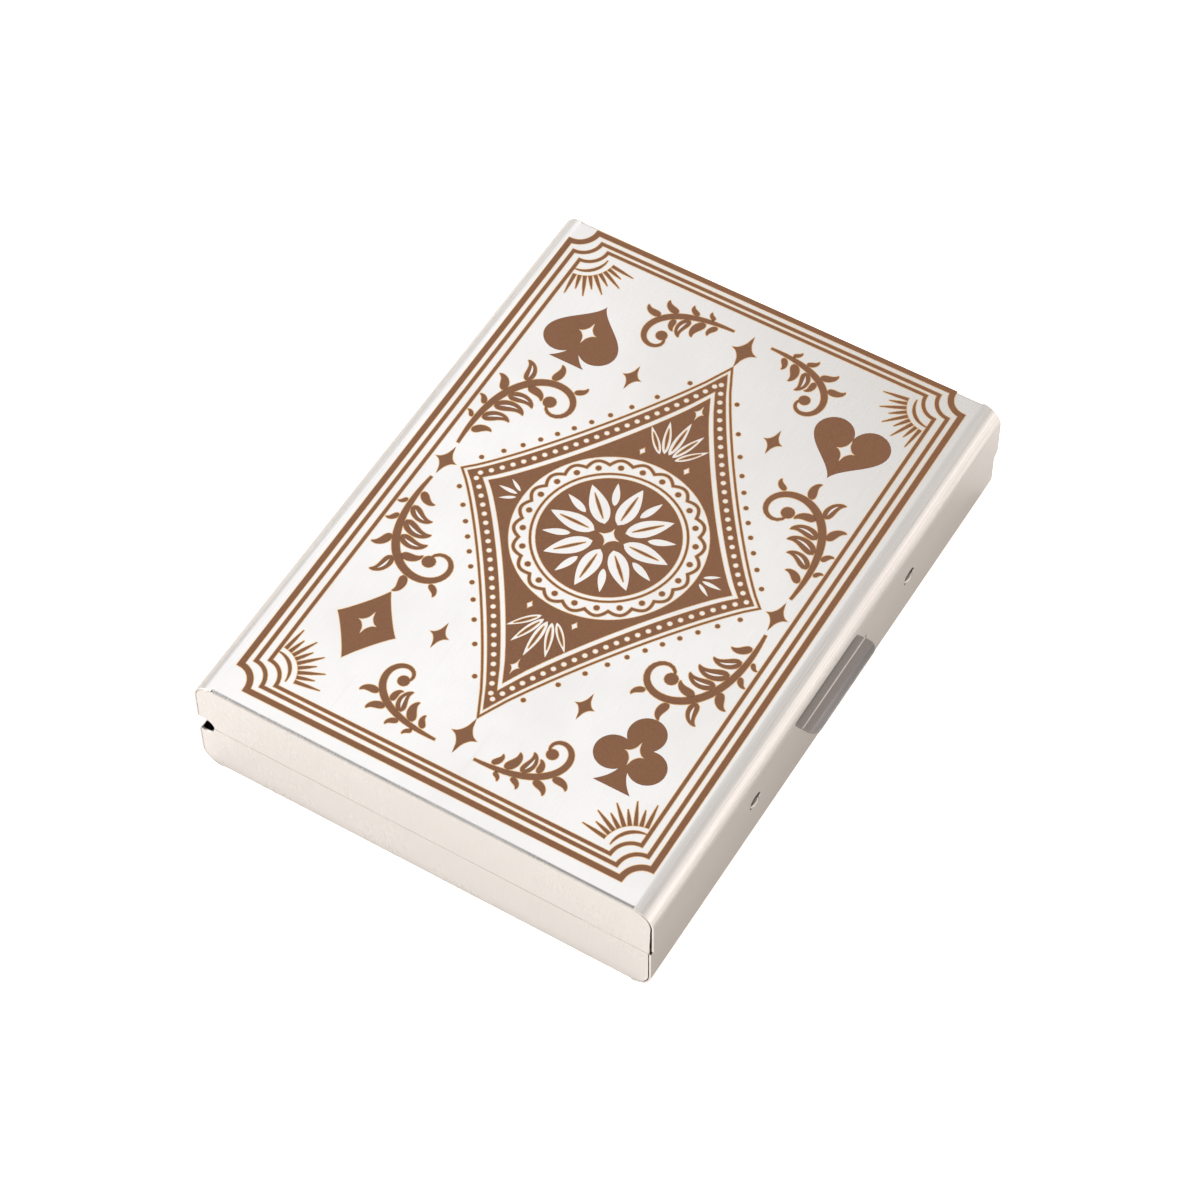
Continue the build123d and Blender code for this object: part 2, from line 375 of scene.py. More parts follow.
base_steel = sheet_steel("rolled_steel_base", STEEL_BRIGHT, STEEL_DULL, SHEET_ROUGHNESS, SHEET_GRAIN_DEPTH,
                         ironed_beyond=BASE_IRONED_BEYOND)

base = dressed_copy("base_shell", "base_shell_sheet", SHEET_EDGE_ROUND)
base.data.materials.append(base_steel)
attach(base, "base")
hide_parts("base_shell")


# ---- lid shell ------------------------------------------------------------------------
# The upper half, bent from the same sheet and turned over. The thumb tab is lanced out
# of its latch wall and folded flat, and two slots above it take the base's snap domes.

LID_IRONED_BEYOND = 0.0354
# Past this X the thumb tab's colour carries painted shade.
TAB_PAINTED_SHADE_BEYOND = 0.03561

lid_steel = sheet_steel("rolled_steel_lid", STEEL_BRIGHT, STEEL_DULL, SHEET_ROUGHNESS, SHEET_GRAIN_DEPTH,
                        ironed_beyond=LID_IRONED_BEYOND, painted_shade_beyond=TAB_PAINTED_SHADE_BEYOND)

lid = dressed_copy("lid_shell", "lid_shell_sheet", SHEET_EDGE_ROUND)
lid.data.materials.append(lid_steel)
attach(lid, "lid")
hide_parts("lid_shell")


# ---- hinge ----------------------------------------------------------------------------
# Two thin leaves of softer strip, spot-welded inside the walls, whose knuckles are
# rolled round one drawn wire pin. The knuckles are polished by the rolling tool.

HINGE_EDGE_ROUND = 0.00003
HINGE_GRAIN_DEPTH = 0.000002
STRIP_LINES_PER_METRE = 14000.0
WIRE_LINES_PER_METRE = 20000.0

hinge_strip = sheet_steel("hinge_strip", (0.60, 0.585, 0.57), (0.53, 0.515, 0.50), 0.26,
                          HINGE_GRAIN_DEPTH, STRIP_LINES_PER_METRE)
pin_wire = sheet_steel("drawn_pin_wire", (0.57, 0.56, 0.55), (0.5, 0.49, 0.48), 0.3,
                       HINGE_GRAIN_DEPTH, WIRE_LINES_PER_METRE)

for node, name, body, finish, slot in (
    ("base_hinge_leaf", "base_leaf_rolled", "base", hinge_strip, "hinge_steel"),
    ("lid_hinge_leaf", "lid_leaf_rolled", "lid", hinge_strip, "hinge_steel"),
    ("hinge_pin", "hinge_pin_wire", "base", pin_wire, "pin_wire"),
):
    piece = dressed_copy(node, name, HINGE_EDGE_ROUND)
    piece.data.materials.append(finish)
    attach(piece, body)
    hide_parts(node)


# ---- snap domes -----------------------------------------------------------------------
# Two oblong domes stamped outwards in the base's latch wall, which click into the slots
# in the lid. Their colour is lighter than the sheet, a painted highlight, with painted shade
# over their top, and a thin dark disc round each is a painted shadow.

DOME_HALF_LENGTH = 0.00112
DOME_HALF_HEIGHT = 0.00054
DOME_RISE = 0.00055
DOME_SPACING = 0.0424
DOME_HEIGHT = 0.01021
SHADOW_DISC_HALF_LENGTH = 0.00145
SHADOW_DISC_HALF_HEIGHT = 0.00125
SHADOW_DISC_HEIGHT = 0.01074
SHADOW_DISC_RISE = 0.00005
LATCH_FACE = 0.0352
DOME_PAINTED_SHADE_ABOVE = 0.01042
STAMPED_GRAIN_DEPTH = 0.000001
CUT_TOLERANCE = 0.0000001

# The dome's colour, lighter than the sheet, is a painted highlight, and its top carries painted shade.
dome_highlight_and_shade_steel = sheet_steel("dome_painted_highlight_and_shade", (0.8, 0.76, 0.72), (0.74, 0.70, 0.66), 0.34,
                         STAMPED_GRAIN_DEPTH, painted_shade_above=DOME_PAINTED_SHADE_ABOVE)
# The thin dark disc behind each slot is a painted shadow.
painted_shadow_steel = sheet_steel("scuffed_hollow_steel", (0.17, 0.155, 0.145), (0.11, 0.1, 0.092), 0.4,
                           STAMPED_GRAIN_DEPTH)

for name, side in (("snap_dome_front", -1), ("snap_dome_rear", 1)):
    bpy.ops.object.select_all(action="DESELECT")
    bpy.ops.mesh.primitive_cylinder_add(
        vertices=64, radius=1.0, depth=1.0, rotation=(0, radians(90), 0),
        location=(LATCH_FACE, side * DOME_SPACING / 2, SHADOW_DISC_HEIGHT))
    hollow = bpy.context.object
    hollow.name = name.replace("dome", "hollow")
    hollow.scale = (SHADOW_DISC_HALF_HEIGHT, SHADOW_DISC_HALF_LENGTH, 2 * SHADOW_DISC_RISE)
    bpy.ops.object.transform_apply(location=True, rotation=True, scale=True)
    bpy.ops.object.shade_smooth_by_angle(angle=radians(40))
    hollow.data.materials.append(painted_shadow_steel)
    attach(hollow, "base")
    centre = Vector((LATCH_FACE, side * DOME_SPACING / 2, DOME_HEIGHT))
    bpy.ops.object.select_all(action="DESELECT")
    bpy.ops.mesh.primitive_uv_sphere_add(segments=48, ring_count=32, radius=1.0, location=centre)
    dome = bpy.context.object
    dome.name = name
    dome.scale = (DOME_RISE, DOME_HALF_LENGTH, DOME_HALF_HEIGHT)
    bpy.ops.object.transform_apply(location=True, rotation=True, scale=True)
    bpy.ops.object.mode_set(mode="EDIT")
    bpy.ops.mesh.select_all(action="SELECT")
    bpy.ops.mesh.bisect(plane_co=centre, plane_no=(1, 0, 0), use_fill=True, clear_inner=True,
                        threshold=CUT_TOLERANCE)
    bpy.ops.object.mode_set(mode="OBJECT")
    bpy.ops.object.shade_smooth_by_angle(angle=radians(50))
    dome.data.materials.append(dome_highlight_and_shade_steel)
    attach(dome, "base")


# ---- laser-marked ornament ------------------------------------------------------------
# The lid's face is marked by laser: the beam browns the steel and leaves an amber heat
# tint round each line. A triple notched border holds a lozenge with a rosette in it,
# the four suits in the spandrels, and scrolls, stars and small diamonds between them.

# The ornament is drawn flat in millimetres about its own middle, and made metres at the end.
MM = 0.001
MARK_CENTRE = (-0.27, 1.08)
MARK_TURN = radians(0.45)
MARK_HALF = (32.07, 46.17)
BORDER_LINES = (((0.0, 0.0), 0.85), ((1.6, 1.6), 0.55), ((3.2, 2.65), 0.5))
NOTCH = (2.9, 3.1)
LOZENGE = (22.6, 32.6)
LOZENGE_BOW = 0.9
MARK_RISE = 0.014
TINT_RISE = 0.004
MARK_ROOT = 0.01
LAP_STEP = 0.001
LAPS = 6
TINT_SPREAD = 0.1
DOT_SIDES = 12
STAR_BOW = 0.62

marks = []


def arc(x, y, radius_x, radius_y, start, end, steps):
    """Points along part of an ellipse, both ends included."""
    angles = [start + (end - start) * step / steps for step in range(steps + 1)]
    return [(x + radius_x * cos(angle), y + radius_y * sin(angle)) for angle in angles]


def round_loop(x, y, radius, sides):
    """A closed circle, its last point one side short of its first."""
    return arc(x, y, radius, radius, 0, 2 * pi * (sides - 1) / sides, sides - 1)


def shifted(path, distance, closed):
    """The path moved sideways to its right; distance is a number, or one number for each point."""
    moved = []
    count = len(path)
    for index, (x, y) in enumerate(path):
        before = path[index - 1] if closed or index > 0 else None
        after = path[(index + 1) % count] if closed or index < count - 1 else None
        normals = []
        sides = ((before, (x, y)), ((x, y), after))
        for (x0, y0), (x1, y1) in [side for side in sides if None not in side]:
            length = hypot(x1 - x0, y1 - y0) or 1.0
            normals.append(((y1 - y0) / length, (x0 - x1) / length))
        n0, n1 = normals[0], normals[-1]
        share = max(0.35, 1 + n0[0] * n1[0] + n0[1] * n1[1])
        amount = distance[index] if isinstance(distance, list) else distance
        moved.append((x + (n0[0] + n1[0]) / share * amount, y + (n0[1] + n1[1]) / share * amount))
    return moved


def turned_to(loop, solid):
    """The loop run anticlockwise where it bounds a mark, and clockwise where it bounds a hole."""
    area = sum(x0 * y1 - x1 * y0 for (x0, y0), (x1, y1) in zip(loop, loop[1:] + loop[:1]))
    return loop if (area > 0) == solid else loop[::-1]


def mark(outline, *holes):
    """One mark, bounded by its outline and pierced by its holes."""
    marks.append([turned_to(outline, True)] + [turned_to(hole, False) for hole in holes])


def ring(path, width):
    """A line of one width round a closed path."""
    path = turned_to(path, True)
    mark(shifted(path, width / 2, True), shifted(path, -width / 2, True))


def loop_round(path, halves):
    """The outline of a line along an open path, with half its width at each point."""
    return shifted(path, halves, False) + shifted(path, [-half for half in halves], False)[::-1]


def stroke(path, widths):
    """A line along an open path, with its width at each point."""
    mark(loop_round(path, [width / 2 for width in widths]))


def polar(x, y, radius_at, steps):
    """A closed loop whose distance from its middle is given at each angle."""
    angles = [2 * pi * step / steps for step in range(steps)]
    return [(x + radius_at(a) * cos(a), y + radius_at(a) * sin(a)) for a in angles]


def bowed_diamond(x, y, half_x, half_y, power, steps=48):
    """A diamond whose sides bow inwards; the lower the power, the deeper."""
    def radius(a):
        return (abs(cos(a) / half_x) ** power + abs(sin(a) / half_y) ** power) ** (-1 / power)
    return polar(x, y, radius, steps)


def star_loop(x, y, half_x, half_y):
    return bowed_diamond(x, y, half_x, half_y, STAR_BOW, 32)


def star(x, y, half_x, half_y):
    mark(star_loop(x, y, half_x, half_y))


def dot(x, y, radius):
    mark(round_loop(x, y, radius, DOT_SIDES))


def curl(x, y, heading, length, curve_start, curve_end, steps=44):
    """A path whose curve tightens from one value to the other, as a spring of ironwork does."""
    path = [(x, y)]
    headings = [heading]
    ratio = curve_end / curve_start
    for step in range(steps):
        heading += curve_start * ratio ** (step / steps) * length / steps
        x += cos(heading) * length / steps
        y += sin(heading) * length / steps
        path.append((x, y))
        headings.append(heading)
    return path, headings


NEARLY_STRAIGHT = 0.00001
PETAL_STEPS = 14
PETAL_RIB = slice(2, 12)
PLUME_STEPS = 18
PLUME_VEIN = slice(3, 14)
VEINED_FROM = 3.4


def swelling(steps, least, most, belly, fullness):
    """Half widths along a leaf: thin at both ends, and widest nearer its foot as belly gets smaller."""
    return [least + most * sin(pi * (index / steps) ** belly) ** fullness for index in range(steps + 1)]


def petal_loops(x, y, heading, length, width):
    """The outline of a pointed petal, and the outline of the rib down its middle."""
    path, _ = curl(x, y, heading, length, NEARLY_STRAIGHT, NEARLY_STRAIGHT, PETAL_STEPS)
    rib = path[PETAL_RIB]
    return (loop_round(path, swelling(PETAL_STEPS, 0.03, width / 2, 0.75, 0.9)),
            loop_round(rib, swelling(len(rib) - 1, 0.03, 0.17, 1, 1)))


def plume(x, y, heading, length, width, bend, vein=False):
    """An acanthus lobe: full near its foot, with a tip that hooks over to one side."""
    path, _ = curl(x, y, heading, length, bend * 0.35 / length, bend * 2.3 / length, PLUME_STEPS)
    outline = loop_round(path, swelling(PLUME_STEPS, 0.05, width / 2, 0.62, 0.8))
    if vein:
        middle = path[PLUME_VEIN]
        mark(outline, loop_round(middle, swelling(len(middle) - 1, 0.03, 0.14, 1, 1)))
    else:
        mark(outline)


def palmette(x, y, heading, blades, longest, lean, gap):
    """The outlines of petals fanned out from one foot, and of their ribs; the middle one is longest."""
    petals = []
    for blade in range(blades):
        offset = blade - (blades - 1) / 2
        turn = heading + offset * lean
        length = longest * (1 - 0.55 * abs(offset) / blades)
        petals.append(petal_loops(x + gap * cos(turn), y + gap * sin(turn), turn, length, length * 0.2))
    return petals


def scroll(x, y, heading, length, bend_start, bend_end, width, lobes):
    """A tapering stem that ends in a ball; each lobe has its place along it, side, length and lift."""
    path, headings = curl(x, y, heading, length, bend_start, bend_end)
    last = len(path) - 1
    swell = [0.25 + 0.75 * sin(pi * (0.05 + 0.95 * index / last)) for index in range(last + 1)]
    stroke(path, [width * share for share in swell])
    dot(*path[-1], width * 0.85)
    for share, side, size, lift in lobes:
        index = int(last * share)
        foot = shifted(path, side * (width * 0.5 + 0.12), False)[index]
        plume(*foot, headings[index] - side * lift, size, size * 0.36, -side * 1.5, size > VEINED_FROM)


def into_four_corners(first):
    """Mirrors the marks made since the first one into the other three corners."""
    made = marks[first:]
    for sign_x, sign_y in ((-1, 1), (-1, -1), (1, -1)):
        for loops in made:
            mirrored = [[(sign_x * x, sign_y * y) for x, y in loop] for loop in loops]
            marks.append(mirrored if sign_x == sign_y else [loop[::-1] for loop in mirrored])


def border_frame(inset_x, inset_y):
    """A rectangle with a concave quarter round taken out of each corner, run anticlockwise."""
    half_x = MARK_HALF[0] - inset_x
    half_y = MARK_HALF[1] - inset_y
    path = []
    for quarter, (sign_x, sign_y) in enumerate(((1, 1), (-1, 1), (-1, -1), (1, -1))):
        start = pi * (1.5 + quarter * 0.5)
        path += arc(sign_x * half_x, sign_y * half_y, NOTCH[0], NOTCH[1], start, start - pi / 2, 12)
    return path


for (inset_x, inset_y), width in BORDER_LINES:
    ring(border_frame(inset_x + width / 2, inset_y + width / 2), width)


def evenly(path, spacing):
    """Points at even distances round a closed path."""
    total = sum(hypot(x1 - x0, y1 - y0) for (x0, y0), (x1, y1) in zip(path, path[1:] + path[:1]))
    step = total / round(total / spacing)
    points, walked = [], 0.0
    for (x0, y0), (x1, y1) in zip(path, path[1:] + path[:1]):
        length = hypot(x1 - x0, y1 - y0)
        while len(points) * step <= walked + length - 0.0001 * step:
            share = (len(points) * step - walked) / length
            points.append((x0 + (x1 - x0) * share, y0 + (y1 - y0) * share))
        walked += length
    return points


def lozenge_at(share):
    """The lozenge's outline, made smaller or larger about its middle."""
    return bowed_diamond(0, 0, LOZENGE[0] * share, LOZENGE[1] * share, LOZENGE_BOW, 96)


# The lozenge is a dark band pierced with beads, with a fine line round it.
BEAD_RADIUS = 0.42
BEAD_SPACING = 1.55
band_beads = evenly(lozenge_at(0.9475), BEAD_SPACING)
mark(lozenge_at(1.0), lozenge_at(0.895), *[round_loop(x, y, BEAD_RADIUS, DOT_SIDES) for x, y in band_beads])
ring(lozenge_at(1.04), 0.28)

# The rosette is a dark disc that eight broad and eight narrow petals are left bare in.
PETALS = 8
DISC_RADIUS = 10.0
DISC_LINE_RADIUS = 10.75
bare = [star_loop(0, 0, 1.7, 1.7)]
ribs = []
for petal in range(PETALS):
    heading = 2 * pi * petal / PETALS
    outline, rib = petal_loops(2.3 * cos(heading), 2.3 * sin(heading), heading, 6.9, 2.7)
    bare.append(outline)
    ribs.append(rib)
    between = heading + pi / PETALS
    bare.append(petal_loops(5.3 * cos(between), 5.3 * sin(between), between, 3.9, 1.05)[0])
mark(round_loop(0, 0, DISC_RADIUS, 72), *bare)
for rib in ribs:
    mark(rib)
ring(round_loop(0, 0, DISC_LINE_RADIUS, 72), 0.3)

# A white ring round the disc holds a scalloped line with a bead in each scallop.
SCALLOPS = 24
SCALLOP_RADIUS = 12.3
SCALLOP_DEPTH = 0.8
SCALLOP_BEAD_RADIUS = 11.85
ring(polar(0, 0, lambda a: SCALLOP_RADIUS + SCALLOP_DEPTH * abs(sin(SCALLOPS / 2 * a)), 288), 0.42)
for bead in range(SCALLOPS):
    angle = 2 * pi * (bead + 0.5) / SCALLOPS
    dot(SCALLOP_BEAD_RADIUS * cos(angle), SCALLOP_BEAD_RADIUS * sin(angle), BEAD_RADIUS)

# The ground round it is dark too, with palmettes, stars and a lattice of diamonds left bare.
LATTICE = (1.75, 2.5)
GROUND_HOLE_RADIUS = 13.75
bare = [round_loop(0, 0, GROUND_HOLE_RADIUS, 96)]
ribs = []
for turn, foot, blades, longest, lean in ((pi / 2, 14.4, 5, 6.4, 0.37), (0, 13.5, 3, 2.9, 0.55)):
    for way in (turn, turn + pi):
        gap = 1.75 if blades == 5 else 1.1
        for petal, rib in palmette(foot * cos(way), foot * sin(way), way, blades, longest, lean, gap):
            bare.append(petal)
            if blades == 5:
                ribs.append(rib)


def clear_of_palmettes(x, y):
    """Whether a diamond at this place keeps off the palmettes at the lozenge's four corners."""
    x, y = abs(x), abs(y)
    if y > 13.5:
        return x > 1.4 + 0.72 * (y - 14) or y > 23.8
    return y > 3.6


for column in range(-12, 13):
    for row in range(-12, 13):
        x = LATTICE[0] * column
        y = LATTICE[1] * (row + column % 2 / 2)
        inside = (abs(x) / LOZENGE[0]) ** LOZENGE_BOW + (abs(y) / LOZENGE[1]) ** LOZENGE_BOW
        if inside < 0.775 and hypot(x, y) > 14.8 and clear_of_palmettes(x, y):
            bare.append(bowed_diamond(x, y, 0.5, 0.76, 0.9, 16))
for sign in (-1, 1):
    bare.append(star_loop(0, sign * 24.6, 0.8, 1.5))
mark(lozenge_at(0.85), *bare)
for rib in ribs:
    mark(rib)

# A star stands off each corner of the lozenge.
for sign in (-1, 1):
    star(0, sign * (LOZENGE[1] + 4.7), 1.9, 3.1)
    star(sign * (LOZENGE[0] + 3.5), 0, 1.6, 2.6)


def heart_loop(x, y, size, upright=1, cut=0.0):
    """A heart, or the body of a spade with its notch cut away for the foot."""
    loop = []
    for step in range(65):
        angle = cut + (2 * pi - 2 * cut) * step / 64
        across = 16 * sin(angle) ** 3
        rise = 13 * cos(angle) - 5 * cos(2 * angle) - 2 * cos(3 * angle) - cos(4 * angle) + 2.5
        loop.append((x + across * size / 32, y + upright * rise * size / 32))
    return loop if cut else loop[:-1]


def foot_loop(x, y, size, top, begin):
    """The flared foot of a spade or club, from where its left side leaves the body to its right one."""
    left = []
    for step in range(9):
        down = begin + (1 - begin) * step / 8
        left.append((x - size * (0.045 + 0.2 * down ** 2.2), y + top - (top + 0.5 * size) * down))
    return left + [(2 * x - px, py) for px, py in reversed(left)]


def spade_loop(x, y, size):
    return heart_loop(x, y + 0.06 * size, size, -1, 0.573) + foot_loop(x, y, size, -0.18 * size, 0.455)


def club_loop(x, y, size):
    lobe, reach = 0.235 * size, 0.26 * size
    loop = []
    for step in range(97):
        angle = -pi / 2 + 0.2 + (2 * pi - 0.4) * step / 96
        lean = (angle - pi / 2 + pi / 3) % (2 * pi / 3) - pi / 3
        radius = reach * cos(lean) + sqrt(lobe ** 2 - (reach * sin(lean)) ** 2)
        loop.append((x + radius * cos(angle), y + 0.06 * size + radius * sin(angle)))
    return loop + foot_loop(x, y, size, -0.12 * size, 0.315)


def diamond_loop(x, y, size):
    return bowed_diamond(x, y, 0.4 * size, 0.54 * size, 0.92, 48)


# One suit stands in each spandrel, with a bare star in it.
SUIT_PLACE = (20.7, 28.8)
SUIT_SIZE = 11.4
SUITS = ((-1, 1, spade_loop), (1, 1, heart_loop), (-1, -1, diamond_loop), (1, -1, club_loop))
for sign_x, sign_y, suit in SUITS:
    x, y = sign_x * SUIT_PLACE[0], sign_y * SUIT_PLACE[1]
    mark(suit(x, y, SUIT_SIZE), star_loop(x, y + 0.3, 1.5, 2.1))

# Round it run scrolls from the stars, a fan of rays from the corner, and small stars and beads.
first = len(marks)
scroll(26.3, 3.4, 1.47, 30.0, 0.022, 0.85, 1.15,
       ((0.1, -1, 3.0, 0.6), (0.19, -1, 4.2, 0.65), (0.28, -1, 4.8, 0.7), (0.38, -1, 4.4, 0.7),
        (0.49, -1, 3.2, 0.7), (0.16, 1, 1.5, 0.35), (0.27, 1, 2.0, 0.4), (0.38, 1, 3.2, 0.5),
        (0.49, 1, 4.0, 0.6), (0.6, 1, 3.2, 0.7), (0.71, 1, 2.2, 0.7)))
scroll(3.0, 39.8, 0.0, 20.5, -0.024, -1.2, 1.0,
       ((0.12, 1, 2.2, 0.6), (0.22, 1, 3.4, 0.65), (0.33, 1, 3.8, 0.7), (0.45, 1, 2.3, 0.8),
        (0.16, -1, 1.5, 0.35), (0.28, -1, 2.0, 0.4), (0.41, -1, 2.8, 0.5), (0.54, -1, 2.8, 0.6)))
FAN_FOOT = (28.4, 42.0)
RAYS = 9
RAY_START = 4.5
echo = arc(*FAN_FOOT, 3.4, 3.6, -pi, -pi / 2, 14)
stroke(echo, [0.12 + 0.36 * sin(pi * index / 14) for index in range(15)])
for ray in range(RAYS):
    angle = -0.75 * pi + (ray - RAYS // 2) * 0.165
    far = 7.0 if ray % 2 else 8.2
    reaches = (RAY_START, (RAY_START + far) / 2, far)
    stroke([(FAN_FOOT[0] + reach * cos(angle), FAN_FOOT[1] + reach * sin(angle)) for reach in reaches],
           [0.55, 0.42, 0.1])
star(11.3, 25.4, 1.4, 2.3)
bead_line = bowed_diamond(0, 0, LOZENGE[0] + 2.4, LOZENGE[1] + 3.2, LOZENGE_BOW, 96)
for x, y in bead_line[2:24:2]:
    dot(x, y, 0.34)
into_four_corners(first)


def crosses_itself(loop):
    """Whether two sides of a closed loop cross."""
    sides = list(zip(loop, loop[1:] + loop[:1]))
    for first, ((ax, ay), (bx, by)) in enumerate(sides):
        for (cx, cy), (dx, dy) in sides[first + 2:len(sides) - (first == 0)]:
            if max(ax, bx) < min(cx, dx) or max(cx, dx) < min(ax, bx):
                continue
            one = (bx - ax) * (cy - ay) - (by - ay) * (cx - ax)
            other = (bx - ax) * (dy - ay) - (by - ay) * (dx - ax)
            third = (dx - cx) * (ay - cy) - (dy - cy) * (ax - cx)
            fourth = (dx - cx) * (by - cy) - (dy - cy) * (bx - cx)
            if one * other < 0 and third * fourth < 0:
                return True
    return False


def widened(loop, growth):
    """The loop moved outwards by the growth, or by less where it would cross itself."""
    for share in (1.0, 0.6, 0.3):
        wide = shifted(loop, growth * share, True)
        if not crosses_itself(wide):
            return wide
    return loop


def marked_layer(name, top, growth):
    """All the marks as one thin layer on the lid's face, each line widened by the growth."""
    pieces = []
    for number, loops in enumerate(marks):
        outline = bpy.data.curves.new(f"{name}_{number}", "CURVE")
        outline.dimensions = "2D"
        outline.fill_mode = "BOTH"
        outline.extrude = (top + MARK_ROOT) / 2
        for loop in loops:
            wide = widened(loop, growth) if growth else loop
            spline = outline.splines.new("POLY")
            spline.points.add(len(wide) - 1)
            for point, (x, y) in zip(spline.points, wide):
                point.co = (x, y, 0.0, 1.0)
            spline.use_cyclic_u = True
        piece = bpy.data.objects.new(outline.name, outline)
        piece.location.z = LAP_STEP * (number % LAPS)
        bpy.context.scene.collection.objects.link(piece)
        pieces.append(piece)
    bpy.ops.object.select_all(action="DESELECT")
    for piece in pieces:
        piece.select_set(True)
    bpy.context.view_layer.objects.active = pieces[0]
    bpy.ops.object.convert(target="MESH")
    bpy.ops.object.join()
    layer = bpy.context.object
    layer.name = name
    lid_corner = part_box("lid_shell")[1]
    layer.scale = (MM, MM, MM)
    layer.rotation_euler.z = MARK_TURN
    layer.location = (MARK_CENTRE[0] * MM, MARK_CENTRE[1] * MM, lid_corner.z + (top - MARK_ROOT) / 2 * MM)
    bpy.ops.object.transform_apply(location=True, rotation=True, scale=True)
    edge = lid_corner.y - SHEET_EDGE_ROUND / 2
    for vertex in layer.data.vertices:
        vertex.co.y = min(max(vertex.co.y, -edge), edge)
    layer.data.materials.clear()
    return layer


PULSES_PER_METRE = 6000.0
DRIFT_PER_METRE = 90.0
PULSE_DEPTH = 0.000004


def marked_steel(name, colour, burnt, roughness, metallic):
    """Steel browned by the beam: even in tone, with a fine dark speckle where the pulses overlap."""
    material = bpy.data.materials.new(name)
    material.use_nodes = True
    tree = material.node_tree
    surface = tree.nodes["Principled BSDF"]
    surface.inputs["Metallic"].default_value = metallic
    surface.inputs["Specular IOR Level"].default_value = 0.25
    place = tree.nodes.new("ShaderNodeTexCoord").outputs["Object"]
    speckle = spread(tree, noise(tree, place, PULSES_PER_METRE, 2.0, 0.6), 0.35, 0.7, 0.0, 1.0)
    drift = spread(tree, noise(tree, place, DRIFT_PER_METRE, 3.0), 0.3, 0.7, 0.5, 1.0)
    tone = blended(tree, calculate(tree, "MULTIPLY", speckle, drift), colour, burnt)
    tree.links.new(tone, surface.inputs["Base Color"])
    rough = spread(tree, speckle, 0.0, 1.0, roughness - 0.06, roughness + 0.06)
    tree.links.new(rough, surface.inputs["Roughness"])
    relief = tree.nodes.new("ShaderNodeBump")
    relief.inputs["Distance"].default_value = PULSE_DEPTH
    tree.links.new(speckle, relief.inputs["Height"])
    tree.links.new(relief.outputs["Normal"], surface.inputs["Normal"])
    return material


amber_tint = marked_steel("amber_heat_tint", (0.62, 0.41, 0.2), (0.56, 0.32, 0.13), 0.4, 0.6)
browned_steel = marked_steel("browned_marking", (0.212, 0.095, 0.045), (0.162, 0.068, 0.031), 0.6, 0.0)

for name, top, growth, finish in (
    ("heat_tint", TINT_RISE, TINT_SPREAD, amber_tint),
    ("laser_marking", MARK_RISE, 0.0, browned_steel),
):
    layer = marked_layer(name, top, growth)
    layer.data.materials.append(finish)
    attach(layer, "lid")


# ---- stage, lamps and camera ----------------------------------------------------------
# A plain pale table, one strong lamp low on the left, a soft panel behind that the lid
# mirrors, and a camera that looks down on the thumb tab's side.

FLOOR_HALF = 3.0
FLOOR_GAP = 0.00002
TABLE_TONE = (0.91, 0.857, 0.812, 1.0)
TABLE_GLOW = (0.95, 0.905, 0.855, 1.0)

# What the steel mirrors of the table: dim at the foot of the latch wall, brighter further
# off, and brightest before the front end. The camera sees it plain white.
LATCH_FOOT_X = (0.0365, 0.068)
FRONT_EDGE_Y = (-0.0485, -0.0475)
TABLE_LIFT = 0.16
TABLE_LIFT_FAR = 0.38
TABLE_LIFT_FRONT = 0.45
TABLE_SEEN = 1.0

bpy.ops.mesh.primitive_plane_add(size=2 * FLOOR_HALF, location=(0, 0, -FLOOR_GAP))
floor = bpy.context.object
floor.name = "table_top"
paper = bpy.data.materials.new("pale_table")
paper.use_nodes = True
table_nodes = paper.node_tree
surface = table_nodes.nodes["Principled BSDF"]
surface.inputs["Base Color"].default_value = TABLE_TONE
surface.inputs["Roughness"].default_value = 0.9
surface.inputs["Specular IOR Level"].default_value = 0.2
surface.inputs["Emission Color"].default_value = TABLE_GLOW
rays = table_nodes.nodes.new("ShaderNodeLightPath").outputs
paper_place = table_nodes.nodes.new("ShaderNodeTexCoord").outputs["Object"]
paper_axes = table_nodes.nodes.new("ShaderNodeSeparateXYZ")
table_nodes.links.new(paper_place, paper_axes.inputs["Vector"])
side_lift = spread(table_nodes, paper_axes.outputs["X"], *LATCH_FOOT_X, TABLE_LIFT, TABLE_LIFT_FAR)
table_lift = spread(table_nodes, paper_axes.outputs["Y"], *FRONT_EDGE_Y, TABLE_LIFT_FRONT, side_lift)
mirrored = calculate(table_nodes, "MULTIPLY", rays["Is Glossy Ray"], table_lift)
lift = calculate(table_nodes, "MULTIPLY_ADD", rays["Is Camera Ray"], TABLE_SEEN, mirrored)
table_nodes.links.new(lift, surface.inputs["Emission Strength"])
floor.data.materials.append(paper)
floor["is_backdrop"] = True

# The room is light behind the case and near the floor, and dim above the camera, where
# the front folds look.
ROOM_TONE = (1.0, 0.965, 0.93, 1.0)
ROOM_DIM = 0.28
ROOM_BEHIND = 0.94
ROOM_LOW = 0.82
world = bpy.data.worlds.new("studio_room")
bpy.context.scene.world = world
world.use_nodes = True
room = world.node_tree
way = room.nodes.new("ShaderNodeSeparateXYZ")
room.links.new(room.nodes.new("ShaderNodeTexCoord").outputs["Generated"], way.inputs["Vector"])
room.nodes["Background"].inputs["Color"].default_value = ROOM_TONE
behind = spread(room, way.outputs["Y"], -0.35, 0.3, ROOM_DIM, ROOM_BEHIND)
low = spread(room, way.outputs["Z"], 0.3, 0.52, ROOM_LOW, ROOM_DIM)
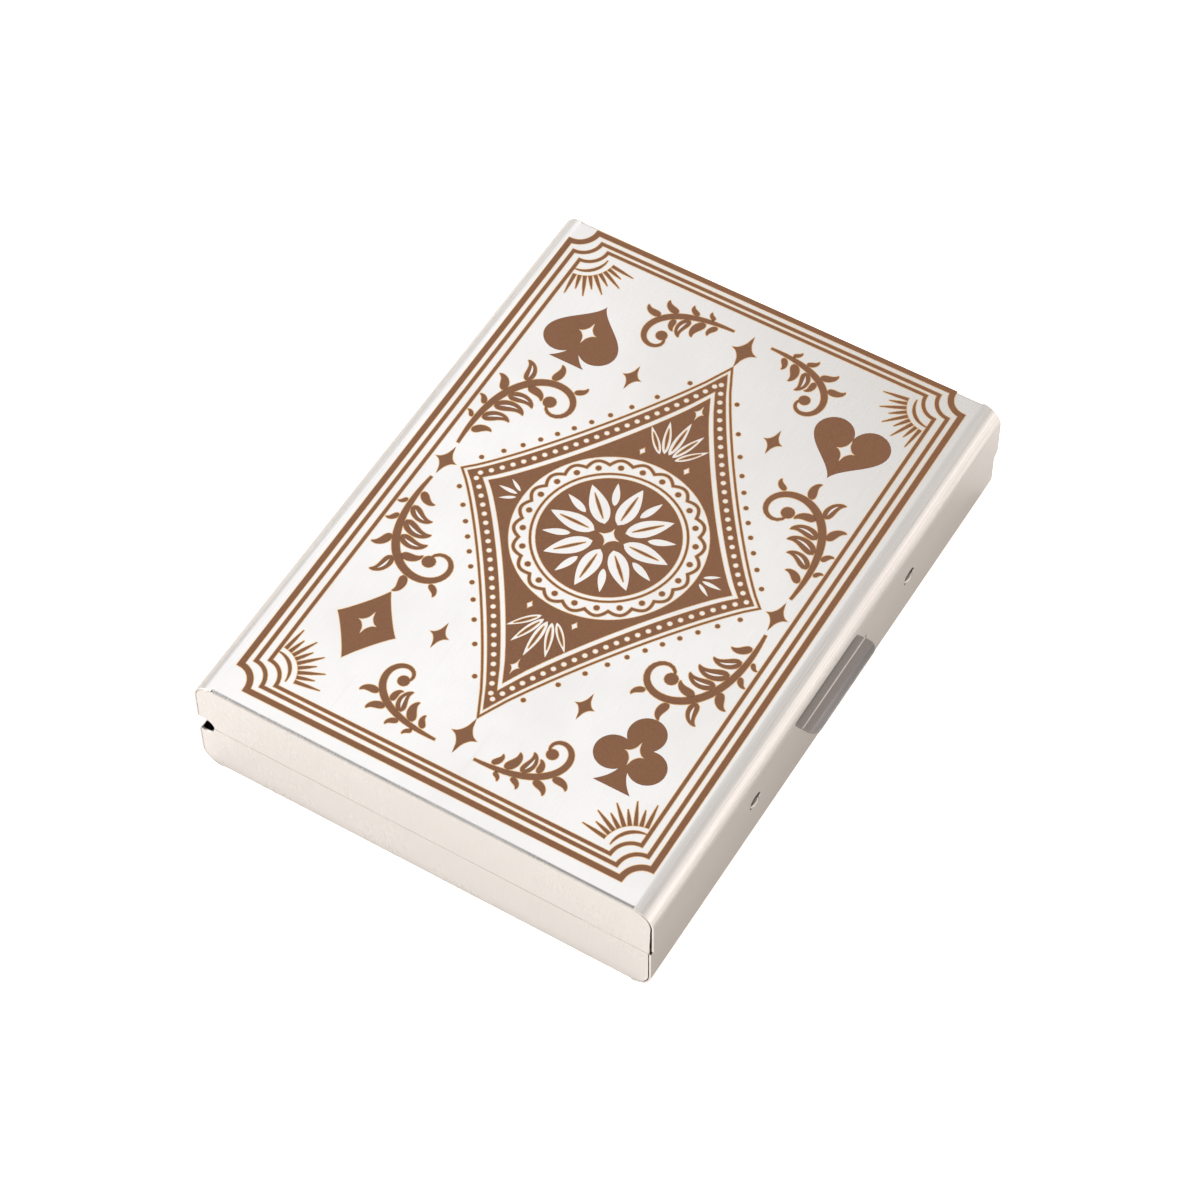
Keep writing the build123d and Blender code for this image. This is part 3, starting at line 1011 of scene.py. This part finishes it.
room.links.new(calculate(room, "MAXIMUM", behind, low), room.nodes["Background"].inputs["Strength"])


def soft_panel(name, toward, distance, size, radiance, colour):
    """A square-cornered soft box of a given brightness, facing the case."""
    lamp = bpy.data.lights.new(name, "AREA")
    lamp.shape = "RECTANGLE"
    lamp.size, lamp.size_y = size
    lamp.energy = radiance * pi * size[0] * size[1]
    lamp.color = colour
    holder = bpy.data.objects.new(name, lamp)
    bpy.context.scene.collection.objects.link(holder)
    place = Vector(toward).normalized() * distance
    holder.location = place
    holder.rotation_euler = (-place).to_track_quat("-Z", "Y").to_euler()


soft_panel("key_panel", (-0.88, -0.30, 0.37), 2.2, (1.25, 1.25), 12.0, (0.985, 1.0, 1.02))
soft_panel("rear_panel", (-0.56, 0.31, 0.76), 0.95, (0.75, 0.86), 0.80, (0.95, 1.0, 1.07))
soft_panel("right_panel", (0.80, 0.46, 0.16), 1.0, (1.0, 0.72), 0.70, (1.1, 0.97, 0.9))

CAMERA_PLACE = Vector((0.16530, -0.26913, 0.45318))
CAMERA_AZIMUTH = radians(31.74)
CAMERA_ELEVATION = radians(54.82)
CAMERA_ROLL = radians(-0.78)
CAMERA_LENS = 118.8
CAMERA_FILM = 36.0
back = Vector((sin(CAMERA_AZIMUTH) * cos(CAMERA_ELEVATION),
               -cos(CAMERA_AZIMUTH) * cos(CAMERA_ELEVATION),
               sin(CAMERA_ELEVATION)))
level = Vector((cos(CAMERA_AZIMUTH), sin(CAMERA_AZIMUTH), 0.0))
upright = back.cross(level)
right = cos(CAMERA_ROLL) * level + sin(CAMERA_ROLL) * upright
up = back.cross(right)
lens = bpy.data.cameras.new("product_camera")
lens.lens = CAMERA_LENS
lens.sensor_width = CAMERA_FILM
camera = bpy.data.objects.new("product_camera", lens)
bpy.context.scene.collection.objects.link(camera)
camera.matrix_world = Matrix.Translation(CAMERA_PLACE) @ Matrix((right, up, back)).transposed().to_4x4()
bpy.context.scene.camera = camera
bpy.context.scene.view_settings.view_transform = "Standard"

low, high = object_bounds()
